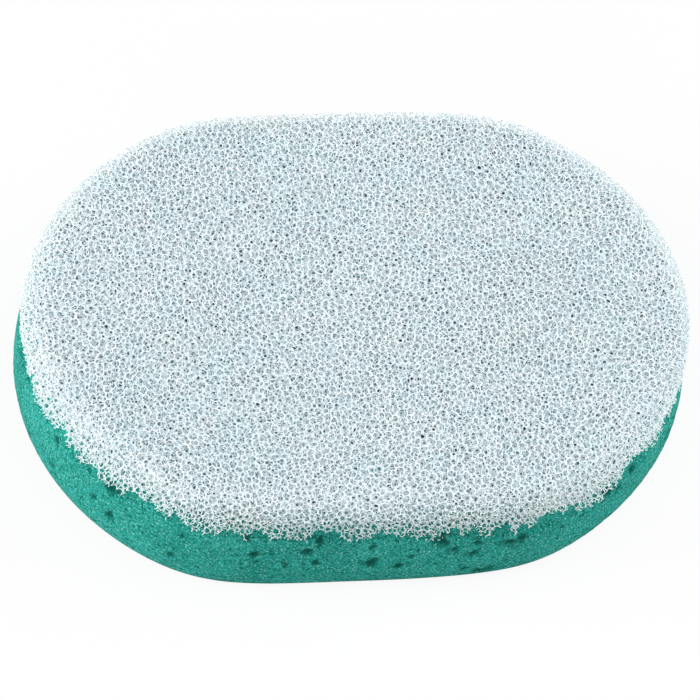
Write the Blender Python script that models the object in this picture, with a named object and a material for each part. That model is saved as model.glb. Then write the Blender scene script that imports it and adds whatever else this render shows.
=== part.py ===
"""Oval scrub sponge for bath or kitchen: a thick absorbent foam base, sprinkled with large pores,
and a thinner scrub layer of coarse open-cell foam bonded on top of it.

The two foams were bonded as sheets and then cut as one, so a single outline and a single side profile
run through both. The scrub layer's pores are a mesh of sunk cells that covers its top, turns over the
rounded edge and ends down the wall in a ragged fringe. The pores are drawn coarser than the real ones.
"""

import math
import random

import bmesh
import bpy
from mathutils import Matrix, Vector, noise
from mathutils.geometry import delaunay_2d_cdt

MM = 0.001

# Outline, seen from above: an ellipse cut by two long flats
LENGTH = 144.0 * MM
WIDTH = 104.5 * MM
FLAT_CUT = 5.7 * MM  # how much each flat takes off the ellipse
CORNER_CRISPNESS = 23.0  # a larger number turns faster from flat to curve

# Heights of the two foams
BASE_HEIGHT = 21.0 * MM
SCRUB_HEIGHT = 8.0 * MM
BOND_GAP = 0.3 * MM  # the film that bonds them

# Side profile: tucked in at the foot, fullest low down, drawn in towards the bond, rounded on top
FOOT_TUCK = 1.1 * MM
FULLEST_HEIGHT = 6.5 * MM
WAIST_INSET = 1.0 * MM
EDGE_RADIUS = 5.0 * MM
WALL_STATIONS = (0.0, 0.18, 0.45, 0.75, 1.0)  # where rings lie, as shares of a stretch of the wall

# Fringe: the scrub layer's cut cells hang over the shoulder of the base
FRINGE_DROP = 3.0 * MM
SHOULDER_INSET = 2.6 * MM
FRINGE_RAGGEDNESS = 2.0 * MM

# Cells of the scrub layer
CELL_SPACING = 4.0 * MM
CELL_SCATTER = 0.40  # share of the spacing that a cell may lie off the regular grid
CELL_DEPTH = 1.7 * MM
RIM_CELL_DEPTH = 0.4 * MM
RIM_CLEARANCE = 1.25  # spacings that the grid keeps from the rim, where its own row of cells runs
SAME_PLACE = 1e-9 * MM

# Large pores of the base
WALL_PORES = 48
FOOT_PORES = 20
PORE_RADIUS_SMALL = 0.9 * MM
PORE_RADIUS_LARGE = 2.4 * MM
PORE_RADIUS_FINE = 1.8 * MM  # pores larger than this get finer facets
PORE_FLATNESS = 0.62  # depth of a pore for its width
PORE_ROUGHNESS = 0.30
PORE_LUMPS = 1.5  # lumps along the radius of a pore
PORE_STRETCH = 1.35  # the longest pore for its width
PORE_RARITY = 2.2  # a larger number makes large pores rarer
PORE_CLEARANCE = 1.8  # distance between pores for the sum of their radii
PORE_TRIES = 40  # draws for each pore that is wanted
PORE_MARGIN = 2.6 * MM  # kept clear of the crisp foot edge
FOOT_CLEARING = 9.0 * MM  # the middle of the underside has no pore, so the rest face is whole there

SHARP_EDGE = math.radians(35.0)
OUTLINE_SAMPLES = 104
LENGTH_SAMPLES = 1440
SMALL_TURN = 0.01  # an angle just far enough to tell which way the outline runs
SEED = 11

TOTAL_HEIGHT = BASE_HEIGHT + SCRUB_HEIGHT
SHOULDER_DROP = FRINGE_DROP + 2.0 * BOND_GAP
SHOULDER_HEIGHT = BASE_HEIGHT - SHOULDER_DROP


def outline_radius(angle, inset):
    """Distance from the middle to the outline at an angle, with the outline drawn in by an inset.

    The ellipse and the flats are joined by a power sum, which acts as a soft minimum of the two. The
    flats stand a little further out than half the width, so that the softened outline meets it.
    """
    q = CORNER_CRISPNESS
    half_width = 0.5 * WIDTH - inset
    uncut = half_width + FLAT_CUT
    flat = (half_width**-q - uncut**-q) ** (-1.0 / q)
    across, along = math.sin(angle), math.cos(angle)
    ellipse = math.hypot(along / (0.5 * LENGTH - inset), across / uncut)
    return (ellipse**q + abs(across / flat) ** q) ** (-1.0 / q)


def side_inset(height):
    """How far the side profile lies inside the fullest outline at a height."""
    if height < FULLEST_HEIGHT:
        return FOOT_TUCK * (1.0 - height / FULLEST_HEIGHT) ** 2
    if height < BASE_HEIGHT:
        share = (height - FULLEST_HEIGHT) / (BASE_HEIGHT - FULLEST_HEIGHT)
        return WAIST_INSET * 0.5 * (1.0 - math.cos(math.pi * share))
    above_edge = max(0.0, height - (TOTAL_HEIGHT - EDGE_RADIUS))
    return WAIST_INSET + EDGE_RADIUS - math.sqrt(max(0.0, EDGE_RADIUS**2 - above_edge**2))


def at_height(angle, height, inset):
    """A point of the outline, drawn in by an inset, at a height."""
    radius = outline_radius(angle, inset)
    return Vector((radius * math.cos(angle), radius * math.sin(angle), height))


def even_angles(count, radius_at):
    """Angles that step round a closed curve in equal lengths, from its right-hand end."""
    turns = [2.0 * math.pi * i / LENGTH_SAMPLES for i in range(LENGTH_SAMPLES + 1)]
    points = [Vector((math.cos(t), math.sin(t))) * radius_at(t) for t in turns]
    travelled = [0.0]
    for before, after in zip(points, points[1:]):
        travelled.append(travelled[-1] + (after - before).length)
    angles = []
    sample = 0
    for i in range(count):
        wanted = travelled[-1] * i / count
        while travelled[sample + 1] < wanted:
            sample += 1
        step = travelled[sample + 1] - travelled[sample]
        share = (wanted - travelled[sample]) / step
        angles.append(turns[sample] + share * (turns[sample + 1] - turns[sample]))
    return angles, travelled[-1]


def foam_material(name, colour, roughness):
    """A matt, non-metallic foam."""
    material = bpy.data.materials.new(name)
    material.use_nodes = True
    shader = material.node_tree.nodes["Principled BSDF"]
    shader.inputs["Base Color"].default_value = (*colour, 1.0)
    shader.inputs["Roughness"].default_value = roughness
    shader.inputs["Metallic"].default_value = 0.0
    material.diffuse_color = (*colour, 1.0)
    return material


def add_object(name, bm, material):
    """Turns a bmesh into a named object of the scene."""
    mesh = bpy.data.meshes.new(name)
    bm.to_mesh(mesh)
    bm.free()
    thing = bpy.data.objects.new(name, mesh)
    if material:
        mesh.materials.append(material)
    bpy.context.scene.collection.objects.link(thing)
    return thing


def loft(bm, rings):
    """Joins rings of points into walls and closes the first and the last with a flat face."""
    rows = [[bm.verts.new(point) for point in ring] for ring in rings]
    for lower, upper in zip(rows, rows[1:]):
        for i in range(len(lower)):
            j = (i + 1) % len(lower)
            bm.faces.new((lower[i], lower[j], upper[j], upper[i]))
    bm.faces.new(reversed(rows[0]))
    bm.faces.new(rows[-1])


def base_profile():
    """Stations of the base as (height, inset), from the foot to the top of the shoulder."""
    heights = [FULLEST_HEIGHT * share for share in WALL_STATIONS[:-1:2]]
    heights += [
        FULLEST_HEIGHT + (SHOULDER_HEIGHT - FULLEST_HEIGHT) * share for share in WALL_STATIONS
    ]
    stations = [(height, side_inset(height)) for height in heights]
    return stations + [(BASE_HEIGHT, WAIST_INSET + SHOULDER_INSET)]


def add_pore(bm, centre, outward, radius, dice):
    """One irregular pore cutter: a rough, flattened ball, turned so that it is shallow along `outward`."""
    divisions = 2 if radius > PORE_RADIUS_FINE else 1
    made = bmesh.ops.create_icosphere(bm, subdivisions=divisions, radius=1.0)["verts"]
    shift = Vector((dice.uniform(0.0, 100.0), dice.uniform(0.0, 100.0), dice.uniform(0.0, 100.0)))
    for vert in made:
        vert.co *= 1.0 + PORE_ROUGHNESS * noise.noise(vert.co * PORE_LUMPS + shift)
    length = radius * dice.uniform(1.0, PORE_STRETCH)
    size = Matrix.Diagonal((length, radius, radius * PORE_FLATNESS, 1.0))
    spin = Matrix.Rotation(dice.uniform(0.0, math.pi), 4, "Z")
    turn = outward.to_track_quat("Z", "Y").to_matrix().to_4x4()
    bmesh.ops.transform(bm, matrix=Matrix.Translation(centre) @ turn @ spin @ size, verts=made)


def scattered(wanted, pick, dice):
    """Draws places from `pick` until enough lie clear of each other; each is (centre, outward, radius)."""
    places = []
    for _ in range(PORE_TRIES * wanted):
        radius = PORE_RADIUS_SMALL + (PORE_RADIUS_LARGE - PORE_RADIUS_SMALL) * dice.random() ** PORE_RARITY
        centre, outward = pick(radius)
        if all((centre - other).length > PORE_CLEARANCE * (radius + size) for other, _, size in places):
            places.append((centre, outward, radius))
        if len(places) == wanted:
            break
    return places


def pore_cutters(dice):
    """All the pores of the base in one cutter: those of its wall, then those of its underside."""

    def on_wall(radius):
        low = PORE_MARGIN + radius
        high = SHOULDER_HEIGHT - radius
        height = dice.uniform(low, max(low, high))
        angle = dice.uniform(0.0, 2.0 * math.pi)
        here = at_height(angle, height, side_inset(height))
        ahead = at_height(angle + SMALL_TURN, height, side_inset(height))
        outward = (ahead - here).cross(Vector((0.0, 0.0, 1.0))).normalized()
        return here, outward

    def on_foot(radius):
        angle = dice.uniform(0.0, 2.0 * math.pi)
        furthest = outline_radius(angle, FOOT_TUCK + PORE_MARGIN + 2.0 * radius)
        reach = FOOT_CLEARING + (furthest - FOOT_CLEARING) * math.sqrt(dice.random())
        here = Vector((reach * math.cos(angle), reach * math.sin(angle), 0.0))
        return here, Vector((0.0, 0.0, -1.0))

    bm = bmesh.new()
    for place in scattered(WALL_PORES, on_wall, dice) + scattered(FOOT_PORES, on_foot, dice):
        add_pore(bm, *place, dice)
    cutters = add_object("pore_cutters", bm, None)
    cutters.hide_render = True
    cutters.display_type = "WIRE"
    return cutters


def make_sponge_base():
    """The absorbent base: a bulging slab with a crisp foot, a shoulder and open pores."""
    bm = bmesh.new()
    angles, _ = even_angles(OUTLINE_SAMPLES, lambda t: outline_radius(t, 0.0))
    loft(bm, [[at_height(t, height, inset) for t in angles] for height, inset in base_profile()])
    base = add_object("sponge_base", bm, foam_material("sea green foam", (0.035, 0.40, 0.35), 0.9))
    base.data.shade_smooth()
    base.data.set_sharp_from_angle(angle=SHARP_EDGE)
    pores = base.modifiers.new("open pores", "BOOLEAN")
    pores.operation = "DIFFERENCE"
    pores.solver = "EXACT"
    pores.object = pore_cutters(random.Random(SEED))
    return base


def layout_reach(angle, low):
    """How far the scrub layer's surface runs at an angle: across the top, round the edge and down to a height."""
    across = outline_radius(angle, WAIST_INSET + EDGE_RADIUS)
    return across + 0.5 * math.pi * EDGE_RADIUS + TOTAL_HEIGHT - EDGE_RADIUS - low


def on_scrub_surface(place):
    """Lays a point of the flat layout over the scrub layer's top, edge and wall, keeping its distance run."""
    angle = math.atan2(place.y, place.x)
    beyond = place.length - outline_radius(angle, WAIST_INSET + EDGE_RADIUS)
    if beyond <= 0.0:
        return Vector((place.x, place.y, TOTAL_HEIGHT))
    turned = min(beyond / EDGE_RADIUS, 0.5 * math.pi)
    if turned < 0.5 * math.pi:
        inset = WAIST_INSET + EDGE_RADIUS * (1.0 - math.sin(turned))
        return at_height(angle, TOTAL_HEIGHT - EDGE_RADIUS * (1.0 - math.cos(turned)), inset)
    height = TOTAL_HEIGHT - EDGE_RADIUS - (beyond - 0.5 * math.pi * EDGE_RADIUS)
    return at_height(angle, height, side_inset(height))


def cell_sites(low, dice):
    """Middles of the cells on the flat layout: a scattered grid, then a row that follows the rim.

    Returns the sites, how many of them are cells, and how many of those are in the grid. The sites past
    the last cell are a row outside the rim, which only bounds the cells.
    """
    step = CELL_SPACING
    _, rim_length = even_angles(1, lambda t: layout_reach(t, low))
    around = round(rim_length / step)
    rim_angles, _ = even_angles(2 * around, lambda t: layout_reach(t, low))

    def row(beyond, angles):
        return [
            Vector((math.cos(t), math.sin(t))) * (layout_reach(t, low) + beyond * step) for t in angles
        ]

    grid = []
    rise = step * math.sqrt(3.0) / 2.0
    rows = math.ceil(WIDTH / rise)
    columns = math.ceil(LENGTH / step)
    for r in range(-rows, rows + 1):
        for c in range(-columns, columns + 1):
            place = Vector(((c + 0.5 * (r % 2)) * step, r * rise))
            place.x += dice.uniform(-CELL_SCATTER, CELL_SCATTER) * step
            place.y += dice.uniform(-CELL_SCATTER, CELL_SCATTER) * step
            if place.length < layout_reach(math.atan2(place.y, place.x), low) - RIM_CLEARANCE * step:
                grid.append(place)
    rim = row(-0.5, rim_angles[::2])
    return grid + rim + row(0.5, rim_angles[1::2]), len(grid) + len(rim), len(grid)


def pore_cells(sites, kept):
    """One polygon for each of the first `kept` sites, cornered at the middles of the triangles around it."""
    points, _, triangles, _, _, _ = delaunay_2d_cdt(sites, [], [], 0, SAME_PLACE)
    corners = [sum((points[i] for i in three), Vector((0.0, 0.0))) / 3.0 for three in triangles]
    around = [[] for _ in points]
    for number, three in enumerate(triangles):
        for site in three:
            around[site].append(number)

    def round_site(site):
        middle = points[site]
        return sorted(
            around[site],
            key=lambda n: math.atan2(corners[n].y - middle.y, corners[n].x - middle.x),
        )

    return corners, [round_site(site) for site in range(kept)]


def make_scrub_layer():
    """The scrub layer: sunk cells all over, a ragged fringe below, and a flat underside that is bonded."""
    dice = random.Random(SEED)
    fringe_low = BASE_HEIGHT - FRINGE_DROP
    sites, kept, in_grid = cell_sites(fringe_low, dice)
    corners, cells = pore_cells(sites, kept)
    used = sorted({number for cell in cells for number in cell})

    bm = bmesh.new()
    verts = {number: bm.verts.new(on_scrub_surface(corners[number])) for number in used}
    faces = [bm.faces.new([verts[number] for number in cell]) for cell in cells]

    # The fringe: each corner on the lower rim is lifted by its own amount
    rim_edges = [edge for edge in bm.edges if edge.is_boundary]
    rim_verts = {vert for edge in rim_edges for vert in edge.verts}
    for number in used:
        vert = verts[number]
        if vert in rim_verts:
            angle = math.atan2(vert.co.y, vert.co.x)
            height = fringe_low + FRINGE_RAGGEDNESS * dice.random()
            vert.co = at_height(angle, height, side_inset(height))

    # The underside, from the fringe up along the shoulder of the base and then flat along the bond
    slope = math.atan2(SHOULDER_DROP, WAIST_INSET + SHOULDER_INSET - side_inset(SHOULDER_HEIGHT))
    bond_inset = WAIST_INSET + SHOULDER_INSET - BOND_GAP * math.tan(0.5 * slope)
    seam = bmesh.ops.extrude_edge_only(bm, edges=rim_edges)["geom"]
    for vert in [part for part in seam if isinstance(part, bmesh.types.BMVert)]:
        vert.co = at_height(math.atan2(vert.co.y, vert.co.x), BASE_HEIGHT + BOND_GAP, bond_inset)
    bmesh.ops.holes_fill(bm, edges=[part for part in seam if isinstance(part, bmesh.types.BMEdge)])

    # Each cell is sunk at its middle, less along the rim where the layer is thin
    bmesh.ops.poke(bm, faces=faces[:in_grid], offset=-CELL_DEPTH)
    bmesh.ops.poke(bm, faces=faces[in_grid:], offset=-RIM_CELL_DEPTH)
    bmesh.ops.recalc_face_normals(bm, faces=bm.faces)
    return add_object("scrub_layer", bm, foam_material("white scrub foam", (0.72, 0.78, 0.80), 0.85))


for old in list(bpy.data.objects):
    bpy.data.objects.remove(old)

make_sponge_base()
make_scrub_layer()
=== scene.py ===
# %% [markdown]
# # An oval scrub sponge
#
# The sponge is two foams bonded face to face. Below is a thick absorbent foam, sea green, with cells so
# fine that they read as grain, and with a few large pores. Above is a scrub foam: an open web of white
# plastic struts with no skin between them, so coarse that the green shows through it along the fringe.
#
# The web is what makes the object. A bump map can't show it, because the eye looks into it and past it,
# so this script builds every strut as a real bar, and the light and the see-through come by themselves.

# %% Frame
import math

import bpy
import numpy as np
from mathutils import Matrix, Vector


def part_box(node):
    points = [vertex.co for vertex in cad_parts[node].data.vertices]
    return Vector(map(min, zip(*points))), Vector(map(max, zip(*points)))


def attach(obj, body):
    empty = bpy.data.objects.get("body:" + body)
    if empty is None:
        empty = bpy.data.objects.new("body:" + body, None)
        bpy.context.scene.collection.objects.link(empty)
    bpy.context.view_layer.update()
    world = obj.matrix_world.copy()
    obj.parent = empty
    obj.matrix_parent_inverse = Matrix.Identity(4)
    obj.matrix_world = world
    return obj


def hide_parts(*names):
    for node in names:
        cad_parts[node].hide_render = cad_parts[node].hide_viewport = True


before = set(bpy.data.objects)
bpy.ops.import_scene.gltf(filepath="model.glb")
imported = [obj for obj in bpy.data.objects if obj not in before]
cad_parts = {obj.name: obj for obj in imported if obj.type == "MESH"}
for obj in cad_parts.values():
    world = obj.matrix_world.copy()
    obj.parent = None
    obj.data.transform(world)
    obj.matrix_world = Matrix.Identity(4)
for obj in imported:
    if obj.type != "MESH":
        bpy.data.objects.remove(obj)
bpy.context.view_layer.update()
base_low, base_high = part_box("sponge_base")
scrub_low, scrub_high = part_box("scrub_layer")

# %% [markdown]
# ## The shape that both foams share
#
# The two sheets are bonded first and cut afterwards, so one outline and one side profile run through
# both. Seen from above the outline is an ellipse that two flats cut off. Seen from the side the wall is
# tucked in at the foot, fullest low down, drawn in to the bond and rounded over at the top.
#
# Under the fringe the green foam has a shoulder: it slopes in and up from its wall to the bond, and that
# is why the fringe hangs clear of it. The bond isn't quite level either. The white layer reaches lower at
# the right-hand end, so one smooth step, the droop, lowers the bond and the fringe together there.

# %% Sizes
MM = 0.001
LENGTH = base_high.x - base_low.x
WIDTH = base_high.y - base_low.y
HEIGHT = scrub_high.z
BASE_HEIGHT = base_high.z
FLAT_CUT = 5.7 * MM
CORNER_CRISPNESS = 23.0
FOOT_TUCK = 1.1 * MM
FULLEST_HEIGHT = 6.5 * MM
WAIST_INSET = 1.0 * MM
EDGE_RADIUS = 5.0 * MM
FRINGE_HEIGHT = scrub_low.z
SHOULDER_HEIGHT = FRINGE_HEIGHT - 1.4 * MM
# The shoulder's slope: heights at insets from the top of the green wall.
SHOULDER_INSETS = np.array([0.0, 1.1, 1.6, 2.4, 4.4]) * MM
SHOULDER_HEIGHTS = np.array(
    [SHOULDER_HEIGHT, SHOULDER_HEIGHT + 0.7 * MM, BASE_HEIGHT - 0.8 * MM, BASE_HEIGHT, BASE_HEIGHT]
)
DROOP = 2.4 * MM
DROOP_FROM = 0.0 * MM
DROOP_RUN = 40.0 * MM
print("bond at, mm:", round(1000 * BASE_HEIGHT, 2), " fringe down to, mm:", round(1000 * FRINGE_HEIGHT, 2))


# %% Outline and side profile
def outline_radius(angle, inset):
    """Radius of the outline at an angle, drawn in by an inset.

    The ellipse's reach and the flats' reach are joined as (1/e^q + 1/f^q)^(-1/q), which follows the
    smaller of the two and turns softly from one to the other.
    """
    half_width = 0.5 * WIDTH - inset
    uncut = half_width + FLAT_CUT
    q = CORNER_CRISPNESS
    flat = (half_width**-q - uncut**-q) ** (-1.0 / q)
    ellipse = np.hypot(np.cos(angle) / (0.5 * LENGTH - inset), np.sin(angle) / uncut)
    return (ellipse**q + np.abs(np.sin(angle) / flat) ** q) ** (-1.0 / q)


def side_inset(height):
    """How far the wall lies inside the fullest outline.

    A parabola at the foot, half a cosine wave from the fullest line in to the bond, a straight wall, and
    a quarter circle at the top edge.
    """
    foot = FOOT_TUCK * (1.0 - np.clip(height / FULLEST_HEIGHT, 0.0, 1.0)) ** 2
    rise = np.clip((height - FULLEST_HEIGHT) / (BASE_HEIGHT - FULLEST_HEIGHT), 0.0, 1.0)
    waist = 0.5 * WAIST_INSET * (1.0 - np.cos(np.pi * rise))
    into_edge = np.clip(height - (HEIGHT - EDGE_RADIUS), 0.0, EDGE_RADIUS)
    return foot + waist + EDGE_RADIUS - np.sqrt(EDGE_RADIUS**2 - into_edge**2)


def polar(points):
    """Angle and reach of points seen from above."""
    return np.arctan2(points[..., 1], points[..., 0]), np.hypot(points[..., 0], points[..., 1])


def smooth_step(share):
    """A share from 0 to 1 that starts and ends softly: 3 s^2 - 2 s^3."""
    return share * share * (3.0 - 2.0 * share)


def droop(points):
    """How far the bond lies lower than usual: nothing on the left, and a smooth step down on the right."""
    return DROOP * smooth_step(np.clip((points[..., 0] - DROOP_FROM) / DROOP_RUN, 0.0, 1.0))


half_sizes = outline_radius(np.array([0.0, 0.5 * np.pi]), 0.0)
print("half length and half width, mm:", np.round(1000 * half_sizes, 2))

# %% [markdown]
# ## Meshes and noise
#
# Each surface here is worked out as whole numpy arrays, and one helper hands them to Blender. The other
# helper is a soft noise: random numbers on a lattice, blended between its points, with a size in metres.
# It is what makes foam uneven.


# %% Helpers
def add_mesh(name, points, faces, smooth):
    """A mesh object from an array of points and an array of faces with the same number of corners each."""
    mesh = bpy.data.meshes.new(name)
    count, corners = faces.shape
    mesh.vertices.add(len(points))
    mesh.vertices.foreach_set("co", np.ascontiguousarray(points, dtype=np.float32).ravel())
    mesh.loops.add(count * corners)
    mesh.loops.foreach_set("vertex_index", np.ascontiguousarray(faces, dtype=np.int32).ravel())
    mesh.polygons.add(count)
    mesh.polygons.foreach_set("loop_start", np.arange(0, count * corners, corners, dtype=np.int32))
    mesh.polygons.foreach_set("use_smooth", np.full(count, smooth))
    mesh.update(calc_edges=True)
    piece = bpy.data.objects.new(name, mesh)
    bpy.context.scene.collection.objects.link(piece)
    return piece


NOISE_SIDE = 64


def soft_noise(points, size, seed):
    """Noise from -1 to 1: random values on a lattice of the given size, blended smoothly in between."""
    table = np.random.default_rng(seed).uniform(-1.0, 1.0, (NOISE_SIDE,) * 3)
    place = points / size
    cell = np.floor(place)
    part = smooth_step(place - cell)
    cell = cell.astype(np.int64)
    total = np.zeros(points.shape[:-1])
    for corner in np.ndindex(2, 2, 2):
        at = (cell + corner) % NOISE_SIDE
        weight = np.prod(np.where(np.array(corner) == 1, part, 1.0 - part), axis=-1)
        total += weight * table[at[..., 0], at[..., 1], at[..., 2]]
    return total


# %% [markdown]
# ## A slab with one fine face
#
# The green foam shows its wall and underside, and the core of the scrub foam shows its top. Both are the
# same kind of body: a fine face laid out in square rings, so that its cells stay even from the middle to
# the rim, a wall of rows that share the rim's points, and a coarse fan that closes the hidden side.

# %% Measure along the outline
LENGTH_SAMPLES = 4000


def angle_at(share):
    """The angle at a share of the way round the outline, measured along it from the right-hand end.

    The second result is the length of the outline.
    """
    turns = np.linspace(0.0, 2.0 * np.pi, LENGTH_SAMPLES + 1)
    reach = outline_radius(turns, 0.0)
    path = np.stack([reach * np.cos(turns), reach * np.sin(turns)], axis=1)
    run = np.concatenate([[0.0], np.cumsum(np.linalg.norm(np.diff(path, axis=0), axis=1))])
    return np.interp(share, run / run[-1], turns), run[-1]


_, perimeter = angle_at(0.0)
print("length of the outline, mm:", round(1000 * perimeter, 1))


# %% Slabs
def ring_share(i, j):
    """Which ring of a square grid a point is in, and its share of the way round that ring.

    The right, top, left and bottom side of a ring each take up a quarter of the way round.
    """
    ring = np.maximum(np.abs(i), np.abs(j))
    size = np.maximum(ring, 1)
    right, top, left = (i == ring), (j == ring), (i == -ring)
    share = np.where(right, j / size, np.where(top, 2 - i / size, np.where(left, 4 - j / size, 6 + i / size)))
    return ring, (share / 8.0) % 1.0


def slab(rings, profile):
    """Points, faces and wall layout of a slab.

    The profile lists (height, inset) from the rim of the fine face to the rim of the fan. Row 0 of the
    wall layout is the fine face's rim, and columns run round the outline.
    """
    i, j = np.meshgrid(np.arange(-rings, rings + 1), np.arange(-rings, rings + 1), indexing="ij")
    ring, share = ring_share(i, j)
    turns, _ = angle_at(share)
    height, inset = profile[0]
    reach = ring / rings * outline_radius(turns, inset)
    face_points = np.stack([reach * np.cos(turns), reach * np.sin(turns), np.full(i.shape, height)], axis=-1)
    index = np.arange(i.size).reshape(i.shape)
    quads = np.stack([index[:-1, :-1], index[:-1, 1:], index[1:, 1:], index[1:, :-1]], axis=-1).reshape(-1, 4)
    rim = index[ring == rings]
    rim = rim[np.argsort(share[ring == rings])]
    columns = len(rim)
    turns, _ = angle_at(np.arange(columns) / columns)
    heights, insets = np.array(profile[1:]).T[..., None]
    reach = outline_radius(turns, insets)
    rows = np.stack([reach * np.cos(turns), reach * np.sin(turns), heights + 0.0 * reach], axis=-1)
    layout = np.concatenate([rim[None], i.size + np.arange(rows[..., 0].size).reshape(rows.shape[:2])])
    around = np.roll(layout, -1, axis=1)
    walls = np.stack([layout[:-1], around[:-1], around[1:], layout[1:]], axis=-1).reshape(-1, 4)
    centre = i.size + rows[..., 0].size
    fan = np.stack([layout[-1], around[-1], np.full(columns, centre)], axis=-1)
    middle = np.array([[0.0, 0.0, profile[-1][0]]])
    points = np.concatenate([face_points.reshape(-1, 3), rows.reshape(-1, 3), middle])
    faces = np.concatenate([quads, walls])
    triangles = np.concatenate([faces[:, [0, 1, 2]], faces[:, [0, 2, 3]], fan])
    fine_face_below = profile[-1][0] > profile[0][0]
    return points, triangles if fine_face_below else triangles[:, ::-1], layout


# %% [markdown]
# ## Pores
#
# The absorbent foam is poured and left to rise. Its own cells are about a third of a millimetre, far too
# fine to model, but here and there gas gathers in a large bubble, and where the blade cuts one it leaves
# a pit with an uneven lip. A pore is a leaning ellipse whose edge soft noise pushes in and out.
#
# The pits could be bump, but they notch the outline and hold shade, so they are pressed into the mesh.
# The number that shapes them is kept on each point, and the material paints shade into the same pits with it.

# %% Pores
PORE_RADII = (0.35 * MM, 1.5 * MM)
SMALL_PORES = 2.6
LONGEST_PORE = 1.6
PORE_DEPTH = 0.5
PORE_WOBBLE = 0.6
PORE_WOBBLE_SIZE = 0.9 * MM
pore_dice = np.random.default_rng(9)


def scatter_pores(count, across, up):
    """Random pores in a field: across, up, radius, stretch and turn of each.

    The radius is the least one plus a random number, raised to a power, of the way to the largest, so
    most pores are small.
    """
    radius = PORE_RADII[0] + (PORE_RADII[1] - PORE_RADII[0]) * pore_dice.random(count) ** SMALL_PORES
    return np.stack(
        [
            pore_dice.uniform(*across, count),
            pore_dice.uniform(*up, count),
            radius,
            pore_dice.uniform(1.0, LONGEST_PORE, count),
            pore_dice.uniform(0.0, np.pi, count),
        ],
        axis=1,
    )


def pore_field(across, up, pores):
    """How far each place lies inside a pore, 1 at its middle and 0 on its lip, and how deep it is there.

    The floor of a pore is part of a circle: its depth goes as the root of 2 l - l^2 at a level l.
    """
    wobble = soft_noise(np.stack([across, up, 0.0 * up], axis=-1), PORE_WOBBLE_SIZE, 41)
    inside = np.full(across.shape, -1.0)
    depth = np.zeros(across.shape)
    for x, y, radius, stretch, turn in pores:
        u = (across - x) * math.cos(turn) + (up - y) * math.sin(turn)
        v = (up - y) * math.cos(turn) - (across - x) * math.sin(turn)
        level = 1.0 - np.hypot(u / stretch, v) / radius * (1.0 + PORE_WOBBLE * wobble)
        bowl = np.sqrt(np.clip(2.0 * level - level**2, 0.0, None)) * (level > 0)
        inside = np.maximum(inside, level)
        depth = np.maximum(depth, PORE_DEPTH * radius * bowl)
    return inside, depth


# %% [markdown]
# ## The absorbent foam
#
# Its wall rises in even rows to the shoulder, and then the rows follow the shoulder's slope in under the
# scrub foam. The blade has dragged the foam open where the two foams meet, so more and larger pores lie
# in a band under the fringe. Pores fade out close to the foot, so that the sponge stands on a clean line.
#
# The blade has also drifted on its way down: the foot is a little fuller at the front left and a little
# slimmer at the front right. The drift goes as the sine of twice the angle, and fades out upwards.

# %% Lay out the base
BASE_RINGS = 72
WALL_ROWS = 34
SHOULDER_ROWS = 12
HIDDEN_STEPS = np.array([3.0, 9.0]) * MM

shoulder_start = float(side_inset(np.array(SHOULDER_HEIGHT)))
wall_heights = np.linspace(0.0, SHOULDER_HEIGHT, WALL_ROWS + 1)
shares = np.linspace(0.0, 1.0, SHOULDER_ROWS + 1)[1:]
steps = np.interp(shares, np.linspace(0.0, 1.0, len(SHOULDER_INSETS)), SHOULDER_INSETS)
profile = [(h, float(side_inset(np.array(h)))) for h in wall_heights]
slope = np.interp(steps, SHOULDER_INSETS, SHOULDER_HEIGHTS)
profile += list(zip(slope.tolist(), (shoulder_start + steps).tolist()))
profile += [(BASE_HEIGHT, shoulder_start + SHOULDER_INSETS[-1] + step) for step in HIDDEN_STEPS]
points, triangles, layout = slab(BASE_RINGS, profile)
print("rows and columns of the wall:", layout.shape)

# %% Press the pores into the wall
WALL_PORES = 110
LOWEST_PORE = 2.5 * MM
FRINGE_PORES = 26
FRINGE_PORE_BAND = np.array([-1.6, 0.6]) * MM
FRINGE_PORE_EXTRA = 0.4 * MM
FOOT_MARGIN = 1.2 * MM
GRAIN = 0.09 * MM
GRAIN_SIZE = 1.0 * MM

wall = points[layout]
run = np.arange(layout.shape[1]) / layout.shape[1] * perimeter
climb = np.cumsum(np.concatenate([[0.0], [math.dist(a, b) for a, b in zip(profile, profile[1:])]]))
across, up = np.meshgrid(run, climb)
normals = np.cross(np.roll(wall, -1, axis=1) - np.roll(wall, 1, axis=1), np.gradient(wall, axis=0))
normals /= np.linalg.norm(normals, axis=-1, keepdims=True)

wall_top = climb[WALL_ROWS]
scattered = scatter_pores(WALL_PORES, (0.0, perimeter), (LOWEST_PORE, wall_top))
under_fringe = scatter_pores(FRINGE_PORES, (0.0, perimeter), wall_top + FRINGE_PORE_BAND)
under_fringe[:, 2] += FRINGE_PORE_EXTRA
wall_inside, wall_depth = pore_field(across, up, np.concatenate([scattered, under_fringe]))
fade = np.clip(up / FOOT_MARGIN, 0.0, 1.0)
grain = GRAIN * soft_noise(wall, GRAIN_SIZE, 42)
points[layout] = wall - normals * ((wall_depth - grain) * fade)[..., None]
inside = np.full(len(points), -1.0)
inside[layout] = wall_inside
print("deepest pore of the wall, mm:", round(1000 * wall_depth.max(), 2))

# %% Press the pores into the underside
FOOT_PORES = 60

under = np.arange((2 * BASE_RINGS + 1) ** 2)
angle, reach = polar(points[under])
from_rim = np.clip((outline_radius(angle, FOOT_TUCK) - reach) / FOOT_MARGIN, 0.0, 1.0)
foot_pores = scatter_pores(FOOT_PORES, (-0.5 * LENGTH, 0.5 * LENGTH), (-0.5 * WIDTH, 0.5 * WIDTH))
foot_inside, foot_depth = pore_field(points[under, 0], points[under, 1], foot_pores)
points[under, 2] += foot_depth * from_rim
inside[under] = np.where(from_rim > 0.0, foot_inside, inside[under])
print("deepest pore underneath, mm:", round(1000 * foot_depth.max(), 2))

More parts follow.
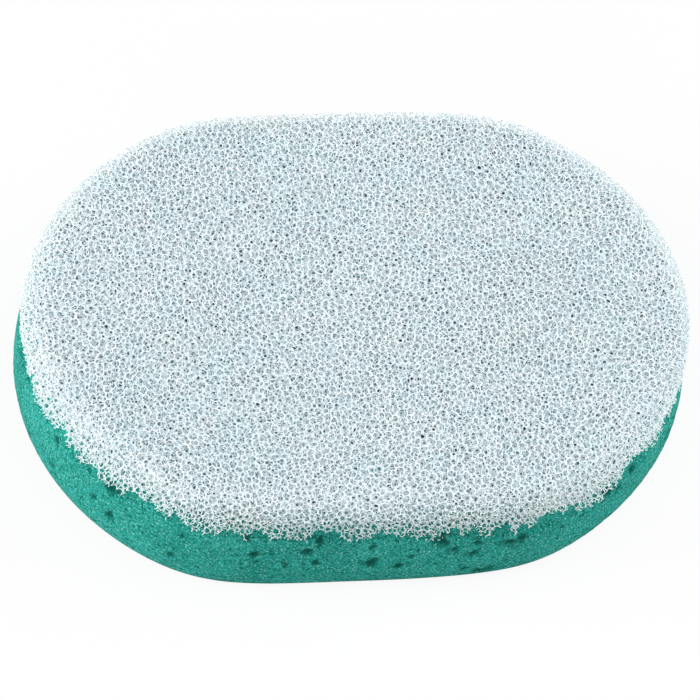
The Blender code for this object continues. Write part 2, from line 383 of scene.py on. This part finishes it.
# %% Finish the base
DRIFT = 0.7 * MM

points[:, 2] -= droop(points) * np.clip(points[:, 2] / SHOULDER_HEIGHT, 0.0, 1.0)
angle, _ = polar(points)
skew = np.sin(2.0 * angle)
drift = DRIFT * skew * np.abs(skew) * np.clip(1.0 - points[:, 2] / SHOULDER_HEIGHT, 0.0, 1.0)
points[:, :2] *= (1.0 + drift / outline_radius(angle, 0.0))[:, None]
base = add_mesh("base_foam", points, triangles, True)
base.data.attributes.new("pore", "FLOAT", "POINT").data.foreach_set("value", inside.astype(np.float32))
print("triangles in the base:", len(triangles))

# %% [markdown]
# ## The scrub foam as a web of struts
#
# When a foam sets, its bubbles pack like soft balls, and plastic stays where they meet: three bubbles
# share a strut, and four share a knot. The skins between them are burnt away, and the web is left.
#
# So the web follows from the bubbles alone. A thousand of them are spread in a box whose sides join up,
# and pushed apart until none crowds another. Four of them share a knot when a sphere through their
# middles holds no other: that is the Delaunay rule. Copies of the box then fill the layer.

# %% A box of bubbles
BUBBLES = 1000
PUSHES = 10
PUSH = 0.25
REACH = 1.10
NEIGHBOURS = 34
EMPTY = 1e-9
rng = np.random.default_rng(5)


def spread_bubbles():
    """Middles in a unit box that repeats, after each has been pushed away from those that crowd it.

    Balls packed as closely as they go have middles (sqrt 2 / n)^(1/3) apart, and two bubbles crowd each
    other when they are nearer than REACH times that.
    """
    middles = rng.random((BUBBLES, 3))
    least = REACH * (math.sqrt(2.0) / BUBBLES) ** (1.0 / 3.0)
    for _ in range(PUSHES):
        gap = middles[:, None] - middles[None]
        gap -= np.round(gap)
        distance = np.sqrt((gap**2).sum(axis=2)) + np.eye(BUBBLES)
        crowding = np.clip(least - distance, 0.0, None) / distance
        middles = middles + PUSH * (gap * crowding[..., None]).sum(axis=1)
    return middles % 1.0


box_bubbles = spread_bubbles()
print("bubbles in the box:", len(box_bubbles))


# %% Knots of the box
def triples(count):
    """All ways to pick three of a count, as three arrays."""
    i, j, k = np.meshgrid(*[np.arange(count)] * 3, indexing="ij")
    rising = (i < j) & (j < k)
    return i[rising], j[rising], k[rising]


def knots_of_box(middles):
    """The four bubbles of every knot, by number, and the box that each lies in, counted from the first's.

    Round one bubble, with three others at u, v and w from it, the middle of the sphere through all four
    is (|u|^2 v x w + |v|^2 w x u + |w|^2 u x v) / (2 u . v x w). Each knot is found once, from the
    bubble of its four with the lowest number.
    """
    numbers, boxes = [], []
    for one in range(BUBBLES):
        gap = middles - middles[one]
        box = -np.round(gap)
        gap = gap + box
        square = (gap**2).sum(axis=1)
        near = np.argsort(square)[1 : NEIGHBOURS + 1]
        later = near[near > one]
        a, b, c = (later[pick] for pick in triples(len(later)))
        u, v, w = gap[a], gap[b], gap[c]
        vw, wu, uv = np.cross(v, w), np.cross(w, u), np.cross(u, v)
        twice = 2.0 * (u * vw).sum(axis=1)[:, None]
        twice = np.where(np.abs(twice) < EMPTY, EMPTY, twice)
        middle = (square[a, None] * vw + square[b, None] * wu + square[c, None] * uv) / twice
        empty = (square[near] - 2.0 * middle @ gap[near].T).min(axis=1) > -EMPTY
        four = np.stack([np.full(empty.sum(), one), a[empty], b[empty], c[empty]], axis=1)
        numbers.append(four)
        boxes.append(np.concatenate([box[four[:, :1]] * 0.0, box[four[:, 1:]]], axis=1))
    numbers, boxes = np.concatenate(numbers), np.concatenate(boxes).astype(int)
    rising = np.argsort(numbers, axis=1)
    return np.take_along_axis(numbers, rising, 1), np.take_along_axis(boxes, rising[..., None], 1)


four, four_box = knots_of_box(box_bubbles)
print("knots in the box:", len(four))

# %% [markdown]
# ### Struts
#
# A strut joins two knots that share three bubbles, so each knot has four arms, and each arm leaves out
# one of its bubbles. Every face of three bubbles turns up exactly twice, once from each end of a strut,
# so sorting the faces pairs the knots.

# %% Pair the knots
KEPT = np.array([[1, 2, 3], [0, 2, 3], [0, 1, 3], [0, 1, 2]])


def pair_arms():
    """For each knot and each of its four arms: the knot it leads to, that knot's arm, and its box."""
    count = len(four)
    first_box = np.stack([four_box[:, kept[0]] for kept in KEPT], axis=1).reshape(-1, 3)
    faces = np.stack([four[:, kept] for kept in KEPT], axis=1).reshape(-1, 3)
    hops = np.stack([four_box[:, kept[1:]] for kept in KEPT], axis=1).reshape(-1, 2, 3) - first_box[:, None]
    keys = np.concatenate([faces, hops.reshape(-1, 6)], axis=1)
    _, same = np.unique(keys, axis=0, return_inverse=True)
    pairs = np.argsort(same.ravel(), kind="stable").reshape(-1, 2)
    other = np.empty(4 * count, dtype=int)
    other[pairs[:, 0]], other[pairs[:, 1]] = pairs[:, 1], pairs[:, 0]
    to_box = first_box - first_box[other]
    return (other // 4).reshape(-1, 4), (other % 4).reshape(-1, 4), to_box.reshape(-1, 4, 3)


leads_to, its_arm, hop = pair_arms()
print("struts in the box:", leads_to.size // 2)

# %% [markdown]
# ### Filling the layer
#
# The boxes are turned at an odd angle and bent by soft noise, so that no repeat can be seen. The bubble
# size comes from the photograph, where the windows of the web are about 1.5 mm apart.

# %% Bubbles and knots of the whole layer
CELL = 1.48 * MM
BOX = CELL * BUBBLES ** (1.0 / 3.0)
BEND = 1.6 * MM
BEND_SIZE = 21.0 * MM
LATTICE_TURN = (0.45, 0.62, 0.28)
BOX_REACH = 0.87  # half the diagonal of a cube, and a little more
MIDDLE = np.array([0.0, 0.0, 0.5 * (FRINGE_HEIGHT + HEIGHT)])
HALF = np.array([0.5 * LENGTH, 0.5 * WIDTH, 0.5 * (HEIGHT - FRINGE_HEIGHT)]) + BEND + 2.0 * CELL
FAR = math.ceil(0.5 * math.hypot(LENGTH, WIDTH) / BOX) + 2


def turned(points, angles):
    """Points turned about X, then Y, then Z."""
    for axis, angle in enumerate(angles):
        u, v = [(1, 2), (2, 0), (0, 1)][axis]
        c, s = math.cos(angle), math.sin(angle)
        points = points.copy()
        points[..., u], points[..., v] = (
            c * points[..., u] - s * points[..., v],
            s * points[..., u] + c * points[..., v],
        )
    return points


def into_layer(in_boxes):
    """Points counted in boxes, as points of the layer in metres, before they are bent."""
    return turned(in_boxes * BOX, LATTICE_TURN) + MIDDLE


def one_key(boxes, numbers, count):
    """One whole number for each thing of a numbered kind in each box: its digits are x, y, z and kind."""
    x, y, z = np.moveaxis(boxes + FAR + 1, -1, 0)
    side = 2 * FAR + 3
    return ((x * side + y) * side + z) * count + numbers


span = np.arange(-FAR, FAR + 1)
boxes = np.stack(np.meshgrid(span, span, span, indexing="ij"), axis=-1).reshape(-1, 3)
boxes = boxes[(np.abs(into_layer(boxes + 0.5) - MIDDLE) < HALF + BOX_REACH * BOX).all(axis=1)]
box_knots = (box_bubbles[four] + four_box).mean(axis=1)
unbent = into_layer(boxes[:, None] + box_knots[None])
in_box, kind = np.nonzero((np.abs(unbent - MIDDLE) < HALF).all(axis=2))
home = boxes[in_box]
around = home[:, None] + four_box[kind]
_, first, back = np.unique(one_key(around, four[kind], BUBBLES), return_index=True, return_inverse=True)
middles = into_layer((around + box_bubbles[four[kind]]).reshape(-1, 3)[first])
middles += BEND * np.stack([soft_noise(middles, BEND_SIZE, seed) for seed in (21, 22, 23)], axis=1)
bubbles = middles[back.reshape(-1, 4)]
centres = bubbles.mean(axis=1)
print("bubbles near the layer:", len(middles), " knots:", len(centres))

# %% [markdown]
# ### Cut to the shape of the layer
#
# A blade cuts the foam, so struts end where they meet the cut. One number for each knot says how deep it
# lies inside the layer, and a strut that leaves the layer is cut at the share of its length where that
# number would pass zero. The lower cut is torn and uneven, in broad waves with a fine one on them, and
# that leaves the ragged fringe.
#
# The web is built as deep as the eye can follow it, a few bubbles down from the top and in from the wall.
# A pale core fills what lies deeper.

# %% Depth inside the scrub layer
FRINGE_LIFT = 0.3 * MM
FRINGE_WAVE = 3.6 * MM
FRINGE_WAVE_SIZE = 6.0 * MM
FINE_WAVE = 0.9
FINE_WAVE_SIZE = 1.8 * MM
BOND_OVERLAP = 0.15 * MM
WEB_FROM_TOP = 2.4 * MM
WEB_FROM_WALL = 2.8 * MM


def scrub_depth(points):
    """The least of the distances to the top, the wall, the green foam below and the torn fringe.

    The second result says which points lie in the part that is built as a web.
    """
    angle, reach = polar(points)
    height = points[..., 2]
    to_top = HEIGHT - height
    to_wall = outline_radius(angle, side_inset(height)) - reach
    inset = outline_radius(angle, 0.0) - reach
    green_top = np.interp(inset - shoulder_start, SHOULDER_INSETS, SHOULDER_HEIGHTS) - droop(points)
    on_floor = points * np.array([1.0, 1.0, 0.0])
    wave = soft_noise(on_floor, FRINGE_WAVE_SIZE, 31) + FINE_WAVE * soft_noise(on_floor, FINE_WAVE_SIZE, 32)
    torn = FRINGE_HEIGHT - droop(points) + FRINGE_LIFT + FRINGE_WAVE * wave
    lower = np.minimum(height - green_top + BOND_OVERLAP, height - torn)
    depth = np.minimum(np.minimum(to_top, to_wall), lower)
    return depth, (to_top < WEB_FROM_TOP) | (to_wall < WEB_FROM_WALL)


depth, in_web = scrub_depth(centres)
wanted = (depth > 0.0) & in_web
print("knots of the web:", int(wanted.sum()))

# %% [markdown]
# ### Knots and tips
#
# Each knot has four tips, one towards each of its bubbles. An arm that leaves out one bubble stands on
# the other three tips, so a strut has three sides, as a real one does. Struts share the tips of their
# knots, and the web is one closed surface with no joint to fill.
#
# No two knots are quite the same size, and those of the thin fringe are finer than those of the top.

# %% Tips of the knots
TIP = 0.142 * MM
TIP_UNEVENNESS = 0.25
TIP_AT_FRINGE = 0.82
FULL_TIP_BELOW_TOP = 3.0 * MM

numbers = np.nonzero(wanted)[0]
knot_keys = one_key(home, kind, len(four))
order = np.argsort(knot_keys)
tip_size = TIP * (1.0 + TIP_UNEVENNESS * rng.uniform(-1.0, 1.0, len(centres)))
tip_size *= np.interp(centres[:, 2], [FRINGE_HEIGHT, HEIGHT - FULL_TIP_BELOW_TOP], [TIP_AT_FRINGE, 1.0])


def find_knots(keys):
    """Where each key is in the list of knots near the layer."""
    return order[np.clip(np.searchsorted(knot_keys[order], keys), 0, len(order) - 1)]


def tips_of(knots):
    """The four tips of each knot, each pushed from its middle towards one of its bubbles."""
    toward = bubbles[knots] - centres[knots][:, None]
    toward /= np.linalg.norm(toward, axis=-1, keepdims=True)
    return centres[knots][:, None] + tip_size[knots][:, None, None] * toward


print("tips:", 4 * len(numbers))

# %% Arms from knot to knot
arm = np.tile(np.arange(4), len(numbers))
near = np.repeat(numbers, 4)
far_kind, far_arm = leads_to[kind[near], arm], its_arm[kind[near], arm]
far = find_knots(one_key(home[near] + hop[kind[near], arm], far_kind, len(four)))
near_order, far_order = KEPT[arm], KEPT[far_arm]
near_tips = np.take_along_axis(tips_of(near), near_order[..., None], 1)
far_tips = np.take_along_axis(tips_of(far), far_order[..., None], 1)

# A strut whose three tips run the wrong way round would be inside out, so two of them swap.
across_tips = np.cross(near_tips[:, 1] - near_tips[:, 0], near_tips[:, 2] - near_tips[:, 0])
turn = (across_tips * (centres[far] - centres[near])).sum(axis=1)
swap = np.where((turn > 0.0)[:, None], [[0, 1, 2]], [[0, 2, 1]])
near_order, far_order = np.take_along_axis(near_order, swap, 1), np.take_along_axis(far_order, swap, 1)
near_tips = np.take_along_axis(near_tips, swap[..., None], 1)
far_tips = np.take_along_axis(far_tips, swap[..., None], 1)
print("arms:", len(arm))

# %% [markdown]
# ### Bars
#
# The layer is split along its length into a few pieces, so that none holds too many faces. A strut
# between two knots of one piece is a plain bar. Where it is cut, or crosses into the next piece, it is
# closed by a triangle, and a cut so near a knot that it would leave a crumb closes the knot itself. Now
# and then two struts join the same two knots and have a side in common, and that side is kept once.
#
# Each piece also carries a UV map named OFBake, to bake its colours through. On thousands of tiny
# bars a plain view from above keeps neighbours together, and their colours differ little with depth.

# %% Sort the struts
PIECES = 5
SHORTEST_STUB = 0.25
SIDES = np.array([[0, 1, 4], [0, 4, 3], [1, 2, 5], [1, 5, 4], [2, 0, 3], [2, 3, 5]])
FAR_CAP = np.array([[3, 4, 5]])

cuts = np.quantile(centres[wanted, 0], np.linspace(0.0, 1.0, PIECES + 1)[1:-1])
piece_of = np.searchsorted(cuts, centres[:, 0])
share = np.where(wanted[far], 1.0, depth[near] / np.where(wanted[far], 1.0, depth[near] - depth[far]))
outside = ~wanted[far] & (depth[far] <= 0.0)
same_piece = piece_of[near] == piece_of[far]
joined = wanted[far] & same_piece & (near < far)
ended = (wanted[far] & ~same_piece & (near < far)) | (outside & (share > SHORTEST_STUB))
capped = ~joined & ~ended & ~(wanted[far] & same_piece)
ends = near_tips + share[:, None, None] * (far_tips - near_tips)
local = np.full(len(centres), -1)
print("whole struts, ended struts, closed knots:", joined.sum(), ended.sum(), capped.sum())


# %% Build the pieces
def map_from_above(piece, points, faces):
    """The map named OFBake, for baking the colours through: each corner's x and y, as a share of the piece's
    own reach.
    """
    low, high = points[:, :2].min(axis=0), points[:, :2].max(axis=0)
    places = (points[faces.ravel(), :2] - low) / (high - low)
    piece.data.uv_layers.new(name="OFBake").uv.foreach_set("vector", places.astype(np.float32).ravel())


scrub_pieces = []
for index in range(PIECES):
    mine = numbers[piece_of[numbers] == index]
    local[mine] = np.arange(len(mine))
    here = piece_of[near] == index
    foot = 4 * local[near][:, None] + near_order
    head = 4 * local[far][:, None] + far_order
    bars = np.concatenate([foot, head], axis=1)[here & joined]
    stubs = foot[here & ended]
    stub_ends = 4 * len(mine) + np.arange(3 * len(stubs)).reshape(-1, 3)
    stub_bars = np.concatenate([stubs, stub_ends], axis=1)
    faces = np.concatenate(
        [
            bars[:, SIDES].reshape(-1, 3),
            stub_bars[:, np.concatenate([SIDES, FAR_CAP])].reshape(-1, 3),
            foot[here & capped],
        ]
    )
    _, once = np.unique(np.sort(faces, axis=1), axis=0, return_index=True)
    faces = faces[np.sort(once)]
    points = np.concatenate([tips_of(mine).reshape(-1, 3), ends[here & ended].reshape(-1, 3)])
    scrub_pieces.append(add_mesh(f"scrub_foam_{index + 1}", points, faces, False))
    map_from_above(scrub_pieces[-1], points, faces)
print("triangles in the web:", [len(p.data.polygons) for p in scrub_pieces])

# %% [markdown]
# ## The core of the scrub foam
#
# Past two or three bubbles the eye can't tell one strut from another: what it sees there is a pale, soft
# mass. So the deep part of the layer is one closed body that keeps the layer's form, with its cells as
# relief and as colour, with painted shade in their windows. The web's inner struts run into it, and
# its foot follows the drooping bond.

# %% Build the core
CORE_RINGS = 36
CORE_TOP = HEIGHT - WEB_FROM_TOP + 0.35 * MM
CORE_INSET = WAIST_INSET + WEB_FROM_WALL - 0.5 * MM
CORE_FOOT = BASE_HEIGHT - 0.1 * MM
CORE_EDGE = 2.0 * MM
CORE_EDGE_ROWS = 5
CORE_RELIEF = 0.25 * MM
RELIEF_FROM = BASE_HEIGHT + 1.0 * MM

edge_turns = np.linspace(0.0, 0.5 * np.pi, CORE_EDGE_ROWS)
edge_heights = CORE_TOP - CORE_EDGE * (1.0 - np.cos(edge_turns))
edge_insets = CORE_INSET + CORE_EDGE * (1.0 - np.sin(edge_turns))
profile = [*zip(edge_heights.tolist(), edge_insets.tolist()), (CORE_FOOT, CORE_INSET)]
points, triangles, _ = slab(CORE_RINGS, profile)
raised = points[:, 2] > RELIEF_FROM
points[raised, 2] += CORE_RELIEF * soft_noise(points[raised], CELL, 51)
points[~raised, 2] -= droop(points[~raised])
core = add_mesh("scrub_core", points, triangles, True)
print("triangles in the core:", len(triangles))

# %% [markdown]
# ## Materials
#
# Every pattern is worked out from the point's place in metres, so a scale of one over 1.2 mm is a
# pattern of about 1.2 mm. Four small functions do the repeated work: one adds a node, one gives a soft
# noise, and two spread a share over a range of colours or numbers.


# %% Nodes
def linear(hex_colour):
    """An sRGB hex colour as linear RGB with full alpha."""
    values = [int(hex_colour[i : i + 2], 16) / 255.0 for i in (1, 3, 5)]
    return [v / 12.92 if v <= 0.04045 else ((v + 0.055) / 1.055) ** 2.4 for v in values] + [1.0]


def add_node(tree, kind, sources=None, **settings):
    """Adds a node. Settings are its own properties; sources set an input, or link it to an output."""
    node = tree.nodes.new("ShaderNode" + kind)
    for name, value in settings.items():
        setattr(node, name, value)
    for socket, source in (sources or {}).items():
        if isinstance(source, bpy.types.NodeSocket):
            tree.links.new(source, node.inputs[socket])
        else:
            node.inputs[socket].default_value = source
    return node


def start_material(name):
    """A material with its shader, and the place of each point in metres."""
    material = bpy.data.materials.new(name)
    material.use_nodes = True
    tree = material.node_tree
    return material, tree, tree.nodes["Principled BSDF"], add_node(tree, "TexCoord").outputs["Object"]


def pattern(tree, place, size, detail=2.0, roughness=0.5):
    """Soft noise from 0 to 1 with blotches of about a size in metres."""
    sources = {"Vector": place, "Scale": 1.0 / size, "Detail": detail, "Roughness": roughness}
    return add_node(tree, "TexNoise", sources).outputs["Fac"]


def spread_value(tree, share, low, high, to_low=0.0, to_high=1.0):
    """A number that runs between two values as the share runs from low to high."""
    sources = {"Value": share, "From Min": low, "From Max": high, "To Min": to_low, "To Max": to_high}
    return add_node(tree, "MapRange", sources).outputs["Result"]


def spread_colour(tree, share, low, high, colours):
    """A colour that runs from the first to the second as the share runs from low to high."""
    sources = {0: spread_value(tree, share, low, high)}
    for socket, colour in zip((6, 7), colours):
        sources[socket] = colour if isinstance(colour, bpy.types.NodeSocket) else linear(colour)
    return add_node(tree, "Mix", sources, data_type="RGBA").outputs[2]


# %% [markdown]
# ### Scrub foam: reticulated polyester foam, white
#
# The struts are bare plastic, left when the skins were burnt away. Broad cool patches keep the white
# from looking like plaster, and a fine roughness breaks up the shine on each strut. A strut is a third
# of a millimetre thick and lets light through, so it never goes dark on its shaded side. Subsurface
# light gives that glow.

# %% Scrub foam
PATCH_SIZE = 9.0 * MM
STRUT_GRAIN = 0.25 * MM
SEE_THROUGH = 0.5
LIGHT_TRAVEL = 0.4 * MM


def scrub_foam():
    """Bare see-through plastic: near white, softly lit from within, with broken highlights."""
    material, tree, shader, place = start_material("reticulated_polyester_foam_white")
    patches = pattern(tree, place, PATCH_SIZE, 3.0)
    white = spread_colour(tree, patches, 0.35, 0.65, ("#EBF8FD", "#F1FAFD"))
    tree.links.new(white, shader.inputs["Base Color"])
    fine = pattern(tree, place, STRUT_GRAIN)
    tree.links.new(spread_value(tree, fine, 0.3, 0.7, 0.45, 0.7), shader.inputs["Roughness"])
    bump = add_node(tree, "Bump", {"Height": fine, "Strength": 0.3, "Distance": 0.02 * MM})
    tree.links.new(bump.outputs["Normal"], shader.inputs["Normal"])
    shader.inputs["Specular IOR Level"].default_value = 0.3
    shader.inputs["Subsurface Weight"].default_value = SEE_THROUGH
    shader.inputs["Subsurface Radius"].default_value = (1.0, 1.0, 1.0)
    shader.inputs["Subsurface Scale"].default_value = LIGHT_TRAVEL
    return material


# %% [markdown]
# ### The same foam, deep down
#
# Deep in the layer struts cross in front of struts, so the net looks finer than it is, and it is drawn
# at about half the real spacing. Each window is painted with a shade of its own, for the different depth
# that the eye sees to in each. A rare window goes right down to the green, painted dark. Near the foot of
# the core every window is greenish, because there the green foam is close behind, and the struts there
# are painted darker and greener, as painted shade and green light from the foam below.

# %% Scrub foam, deep
DEEP_CELL = 0.78 * MM
DEEP_PATCH_SIZE = 6.0 * MM
RELIEF_DEPTH = 0.3 * MM
GREEN_FROM = BASE_HEIGHT + 1.0 * MM
GREEN_TO = BASE_HEIGHT + 5.0 * MM


def scrub_core_foam():
    """A pale net over windows of painted shade, turning green towards the bond, where the net itself is
    painted darker and greener.
    """
    material, tree, shader, place = start_material("reticulated_polyester_foam_deep")
    net = {"Vector": place, "Scale": 1.0 / DEEP_CELL}
    window = add_node(tree, "TexVoronoi", net, feature="DISTANCE_TO_EDGE").outputs["Distance"]
    cell = add_node(tree, "TexVoronoi", net).outputs["Position"]
    chance = add_node(tree, "TexWhiteNoise", {"Vector": cell}).outputs["Value"]
    # Painted shade: each window gets a darkness of its own, for the depth the eye would see into it, and a
    # rare one is painted a dark green.
    deep = spread_colour(tree, chance, 0.0, 1.0, ("#22333A", "#A9BBC1"))
    deep = spread_colour(tree, chance, 0.985, 0.99, (deep, "#0F5B50"))
    patches = pattern(tree, place, DEEP_PATCH_SIZE)
    deep = spread_colour(tree, patches, 0.5, 0.9, (deep, "#5FA8A0"))
    height = add_node(tree, "SeparateXYZ", {0: place}).outputs["Z"]
    deep = spread_colour(tree, height, GREEN_FROM, GREEN_TO, ("#2F9084", deep))
    # Painted shade and green light: the net's struts turn darker and greener towards the bond.
    strut = spread_colour(tree, height, GREEN_FROM, GREEN_TO, ("#8FBDB8", "#F2FAFC"))
    tree.links.new(spread_colour(tree, window, 0.03, 0.22, (strut, deep)), shader.inputs["Base Color"])
    bump = add_node(tree, "Bump", {"Height": window, "Strength": 0.6, "Distance": RELIEF_DEPTH}, invert=True)
    tree.links.new(bump.outputs["Normal"], shader.inputs["Normal"])
    tree.links.new(spread_value(tree, window, 0.0, 0.3, 0.6, 0.9), shader.inputs["Roughness"])
    shader.inputs["Specular IOR Level"].default_value = 0.2
    return material


# %% [markdown]
# ### Absorbent foam: poured polyurethane or cellulose foam, sea green
#
# Fine cells read as grain: bright cell edges and dark cell mouths. Here and there a pale fleck is a painted
# highlight, where an edge would catch the light. The real cells are about a third of a millimetre. The grain
# is drawn a little coarser, at half a millimetre, because it would vanish in a picture of the whole sponge.
#
# The same grain lifts the surface as bump. The pits carry painted shade, darker where light would get lost
# in them, and their lips fade softly into the foam.

# %% Absorbent foam
CELL_GRAIN = 0.55 * MM
GLINT_SIZE = 0.4 * MM
BROAD_TONE = 12.0 * MM
SPECK_SPACING = 2.6 * MM
CELL_DEPTH = 0.25 * MM


def absorbent_foam():
    """Matt, fine-celled foam: sea green with a lively grain, small pale painted highlights, small specks and
    pits with painted shade.
    """
    material, tree, shader, place = start_material("poured_absorbent_foam_sea_green")
    grain = pattern(tree, place, CELL_GRAIN, 3.0, 0.7)
    broad = pattern(tree, place, BROAD_TONE)
    bright = spread_colour(tree, broad, 0.35, 0.65, ("#37AEA2", "#2A9F93"))
    dark = spread_colour(tree, broad, 0.35, 0.65, ("#006051", "#005849"))
    green = spread_colour(tree, grain, 0.34, 0.62, (dark, bright))
    # Painted highlights: pale flecks where a cell edge would catch the light.
    painted_glints = pattern(tree, place, GLINT_SIZE, 1.0)
    green = spread_colour(tree, painted_glints, 0.58, 0.74, (green, "#7CCBC3"))
    specks = add_node(tree, "TexVoronoi", {"Vector": place, "Scale": 1.0 / SPECK_SPACING}).outputs["Distance"]
    green = spread_colour(tree, specks, 0.10, 0.2, ("#106A5C", green))
    # Painted shade: the further inside a pore a point lies, the darker its green.
    pore = add_node(tree, "Attribute", attribute_name="pore").outputs["Fac"]
    green = spread_colour(tree, pore, -0.35, 0.55, (green, "#0D574C"))
    tree.links.new(green, shader.inputs["Base Color"])
    tree.links.new(spread_value(tree, grain, 0.3, 0.7, 0.95, 0.75), shader.inputs["Roughness"])
    bump = add_node(tree, "Bump", {"Height": grain, "Strength": 0.6, "Distance": CELL_DEPTH})
    tree.links.new(bump.outputs["Normal"], shader.inputs["Normal"])
    shader.inputs["Specular IOR Level"].default_value = 0.05
    return material


# %% [markdown]
# ### The floor
#
# The sponge lies on white paper. Lamps bright enough to turn paper white would bleach the sponge, so the
# paper gives the camera a glow of its own instead, and keeps a tenth of its real shade near the sponge
# for the shadow. Mirrors and glass would see that glow too, and everything else is lit as if by plain
# paper.

# %% Floor
PAPER_TONE = 60.0 * MM
SHADE_UP_TO = 0.3
NO_SHADE_FROM = 0.8
GLOW_BY_SPONGE = 0.9


def seen_or_mirrored(tree):
    """1 for what the camera sees directly, in a mirror or through glass, and 0 for what only gives light."""
    path = add_node(tree, "LightPath").outputs
    seen = add_node(tree, "Math", {0: path["Is Camera Ray"], 1: path["Is Glossy Ray"]}, operation="ADD")
    with_glass = {0: seen.outputs[0], 1: path["Is Transmission Ray"]}
    return add_node(tree, "Math", with_glass, operation="ADD", use_clamp=True).outputs[0]


def paper():
    """Matt paper: it keeps a faint shadow and shows the camera a background near white."""
    material, tree, shader, place = start_material("matt_paper")
    tone = pattern(tree, place, PAPER_TONE)
    tree.links.new(spread_colour(tree, tone, 0.3, 0.7, ("#E2E4E4", "#E6E7E7")), shader.inputs["Base Color"])
    shader.inputs["Roughness"].default_value = 0.9
    shader.inputs["Specular IOR Level"].default_value = 0.0
    away = add_node(tree, "VectorMath", {0: place}, operation="LENGTH").outputs["Value"]
    glowing = spread_value(tree, away, SHADE_UP_TO, NO_SHADE_FROM, GLOW_BY_SPONGE, 1.0)
    share = add_node(tree, "Math", {0: seen_or_mirrored(tree), 1: glowing}, operation="MULTIPLY").outputs[0]
    glow = add_node(tree, "Emission", {"Color": (1, 1, 1, 1), "Strength": 1.0}).outputs[0]
    mixed = add_node(tree, "MixShader", {0: share, 1: shader.outputs[0], 2: glow}).outputs[0]
    tree.links.new(mixed, tree.nodes["Material Output"].inputs["Surface"])
    return material


# %% Dress the pieces
white = scrub_foam()
for piece in scrub_pieces:
    piece.data.materials.append(white)
core.data.materials.append(scrub_core_foam())
base.data.materials.append(absorbent_foam())
print("materials:", [m.name for m in bpy.data.materials])

# %% [markdown]
# ## Placing
#
# Nothing moves, so every piece rides on the one body. The web and its core together replace the plain
# solid of the scrub layer, and the green foam replaces the other. Foam is soft.

# %% Placing
for piece in [*scrub_pieces, core]:
    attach(piece, "root")
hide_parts("scrub_layer")
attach(base, "root")
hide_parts("sponge_base")
print("pieces:", len(scrub_pieces) + 2)

# %% [markdown]
# ## Camera
#
# The photograph looks down steeply on the long side, from a little to the left, with the camera tilted.
# The angles, the scale and the place of the sponge in the picture were fitted to its outline there.


# %% Camera
def camera_axes(turn, elevation, roll):
    """Right, up and back of a camera that looks down at an elevation, turned round the object and rolled.

    Back is (sin t cos e, -cos t cos e, sin e), and a level right is (cos t, sin t, 0) before the roll.
    """
    level_back = math.cos(elevation)
    back = np.array([math.sin(turn) * level_back, -math.cos(turn) * level_back, math.sin(elevation)])
    level = np.array([math.cos(turn), math.sin(turn), 0.0])
    upright = np.cross(back, level)
    right = math.cos(roll) * level + math.sin(roll) * upright
    return right, np.cross(back, right), back


CAMERA_TURN, CAMERA_ELEVATION, CAMERA_ROLL = np.radians([-13.0, 56.6, 9.4])
CAMERA_DISTANCE = 0.9
PIXELS_PER_METRE = 4698.0
FRAME_PIXELS = 700.0
SENSOR = 36.0
AIM = np.array([0.0, 0.0, 0.014])
AIM_SEEN_AT = (353.2, 339.2)

right, up, back = camera_axes(CAMERA_TURN, CAMERA_ELEVATION, CAMERA_ROLL)
aside = (0.5 * FRAME_PIXELS - AIM_SEEN_AT[0]) / PIXELS_PER_METRE
above = (AIM_SEEN_AT[1] - 0.5 * FRAME_PIXELS) / PIXELS_PER_METRE
spot = AIM + CAMERA_DISTANCE * back + aside * right + above * up
camera = bpy.data.objects.new("camera", bpy.data.cameras.new("camera"))
camera.data.sensor_width = SENSOR
camera.data.lens = SENSOR * PIXELS_PER_METRE * CAMERA_DISTANCE / FRAME_PIXELS
camera.data.clip_start = 0.01
camera.data.clip_end = 10.0
camera.matrix_world = Matrix([[right[i], up[i], back[i], spot[i]] for i in range(3)] + [[0, 0, 0, 1]])
bpy.context.scene.collection.objects.link(camera)
bpy.context.scene.camera = camera
bpy.context.scene.view_settings.view_transform = "Standard"
print("lens, mm:", round(camera.data.lens, 1))

# %% [markdown]
# ## Light
#
# The light is a plain soft studio: a large lamp overhead, one at each end, a weak one in front, and an
# even glow all round that keeps the deep windows open. The ends are lit more than the front, as in the
# photograph, where the green is brightest at the left.


# %% Light
def area_light(name, place, size, watts):
    """A square lamp at a place, turned to face the sponge."""
    lamp = bpy.data.objects.new(name, bpy.data.lights.new(name, "AREA"))
    lamp.data.size = size
    lamp.data.energy = watts
    lamp.location = place
    lamp.rotation_mode = "QUATERNION"
    lamp.rotation_quaternion = Vector(place).to_track_quat("Z", "Y")
    bpy.context.scene.collection.objects.link(lamp)


area_light("overhead", (0.05, 0.0, 0.95), 0.7, 3.0)
area_light("left", (-0.9, 0.0, 0.42), 0.6, 8.8)
area_light("right", (0.9, 0.1, 0.45), 0.6, 7.2)
area_light("front", (-0.25, -0.9, 0.45), 0.6, 2.3)

ROOM_LIGHT = 0.27
world = bpy.data.worlds.new("studio")
bpy.context.scene.world = world
world.use_nodes = True
studio = world.node_tree
background = studio.nodes["Background"]
background.inputs["Color"].default_value = (1, 1, 1, 1)
strength = spread_value(studio, seen_or_mirrored(studio), 0.0, 1.0, ROOM_LIGHT, 1.0)
studio.links.new(strength, background.inputs["Strength"])
print("lamps:", len(bpy.data.lights))

# %% Lay the floor
FLOOR_REACH = 3.0
FLOOR_GAP = 0.05 * MM  # keeps the floor from flickering through the underside
corners = np.array([[-1, -1, 0], [1, -1, 0], [1, 1, 0], [-1, 1, 0]])
floor = add_mesh("floor", FLOOR_REACH * corners - [0.0, 0.0, FLOOR_GAP], np.array([[0, 1, 2, 3]]), False)
floor.data.materials.append(paper())
